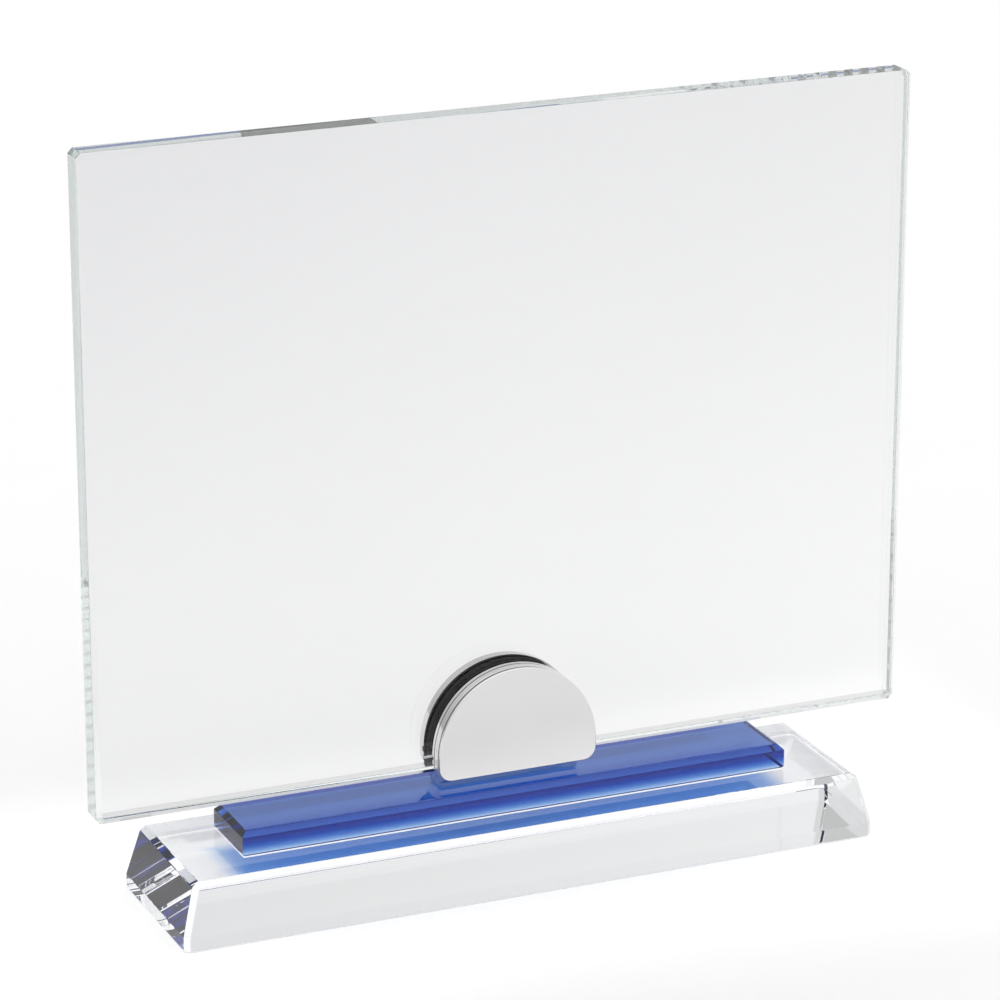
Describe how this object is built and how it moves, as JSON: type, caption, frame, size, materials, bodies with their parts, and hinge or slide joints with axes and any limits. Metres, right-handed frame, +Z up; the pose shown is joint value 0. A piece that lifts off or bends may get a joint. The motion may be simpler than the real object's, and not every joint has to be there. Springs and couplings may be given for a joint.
{
  "type": "crystal award",
  "caption": "Bevelled clear glass award plate held upright by a half-round chrome clip on a blue crystal bar and a low clear crystal base.",
  "frame": {"origin": "middle of the clear base's underside, on the surface the award stands on", "axes": "+Z up, -Y out of the front of the plate towards the viewer, +X along the plate to the viewer's right"},
  "size_m": [0.2032, 0.0424, 0.1826],
  "materials": {
    "clear_crystal": "polished",
    "blue_crystal": "polished",
    "chrome": "polished",
    "black_rubber": "matt",
    "black_steel": "blackened"
  },
  "bodies": {
    "root": {"clear_base": "clear_crystal", "blue_bar": "blue_crystal", "display_plate": "clear_crystal", "clip_body": "chrome", "front_cover": "chrome", "front_pad": "black_rubber", "rear_pad": "black_rubber", "seat_channel": "black_rubber", "grub_screw_left": "black_steel", "grub_screw_right": "black_steel"}
  },
  "joints": []
}
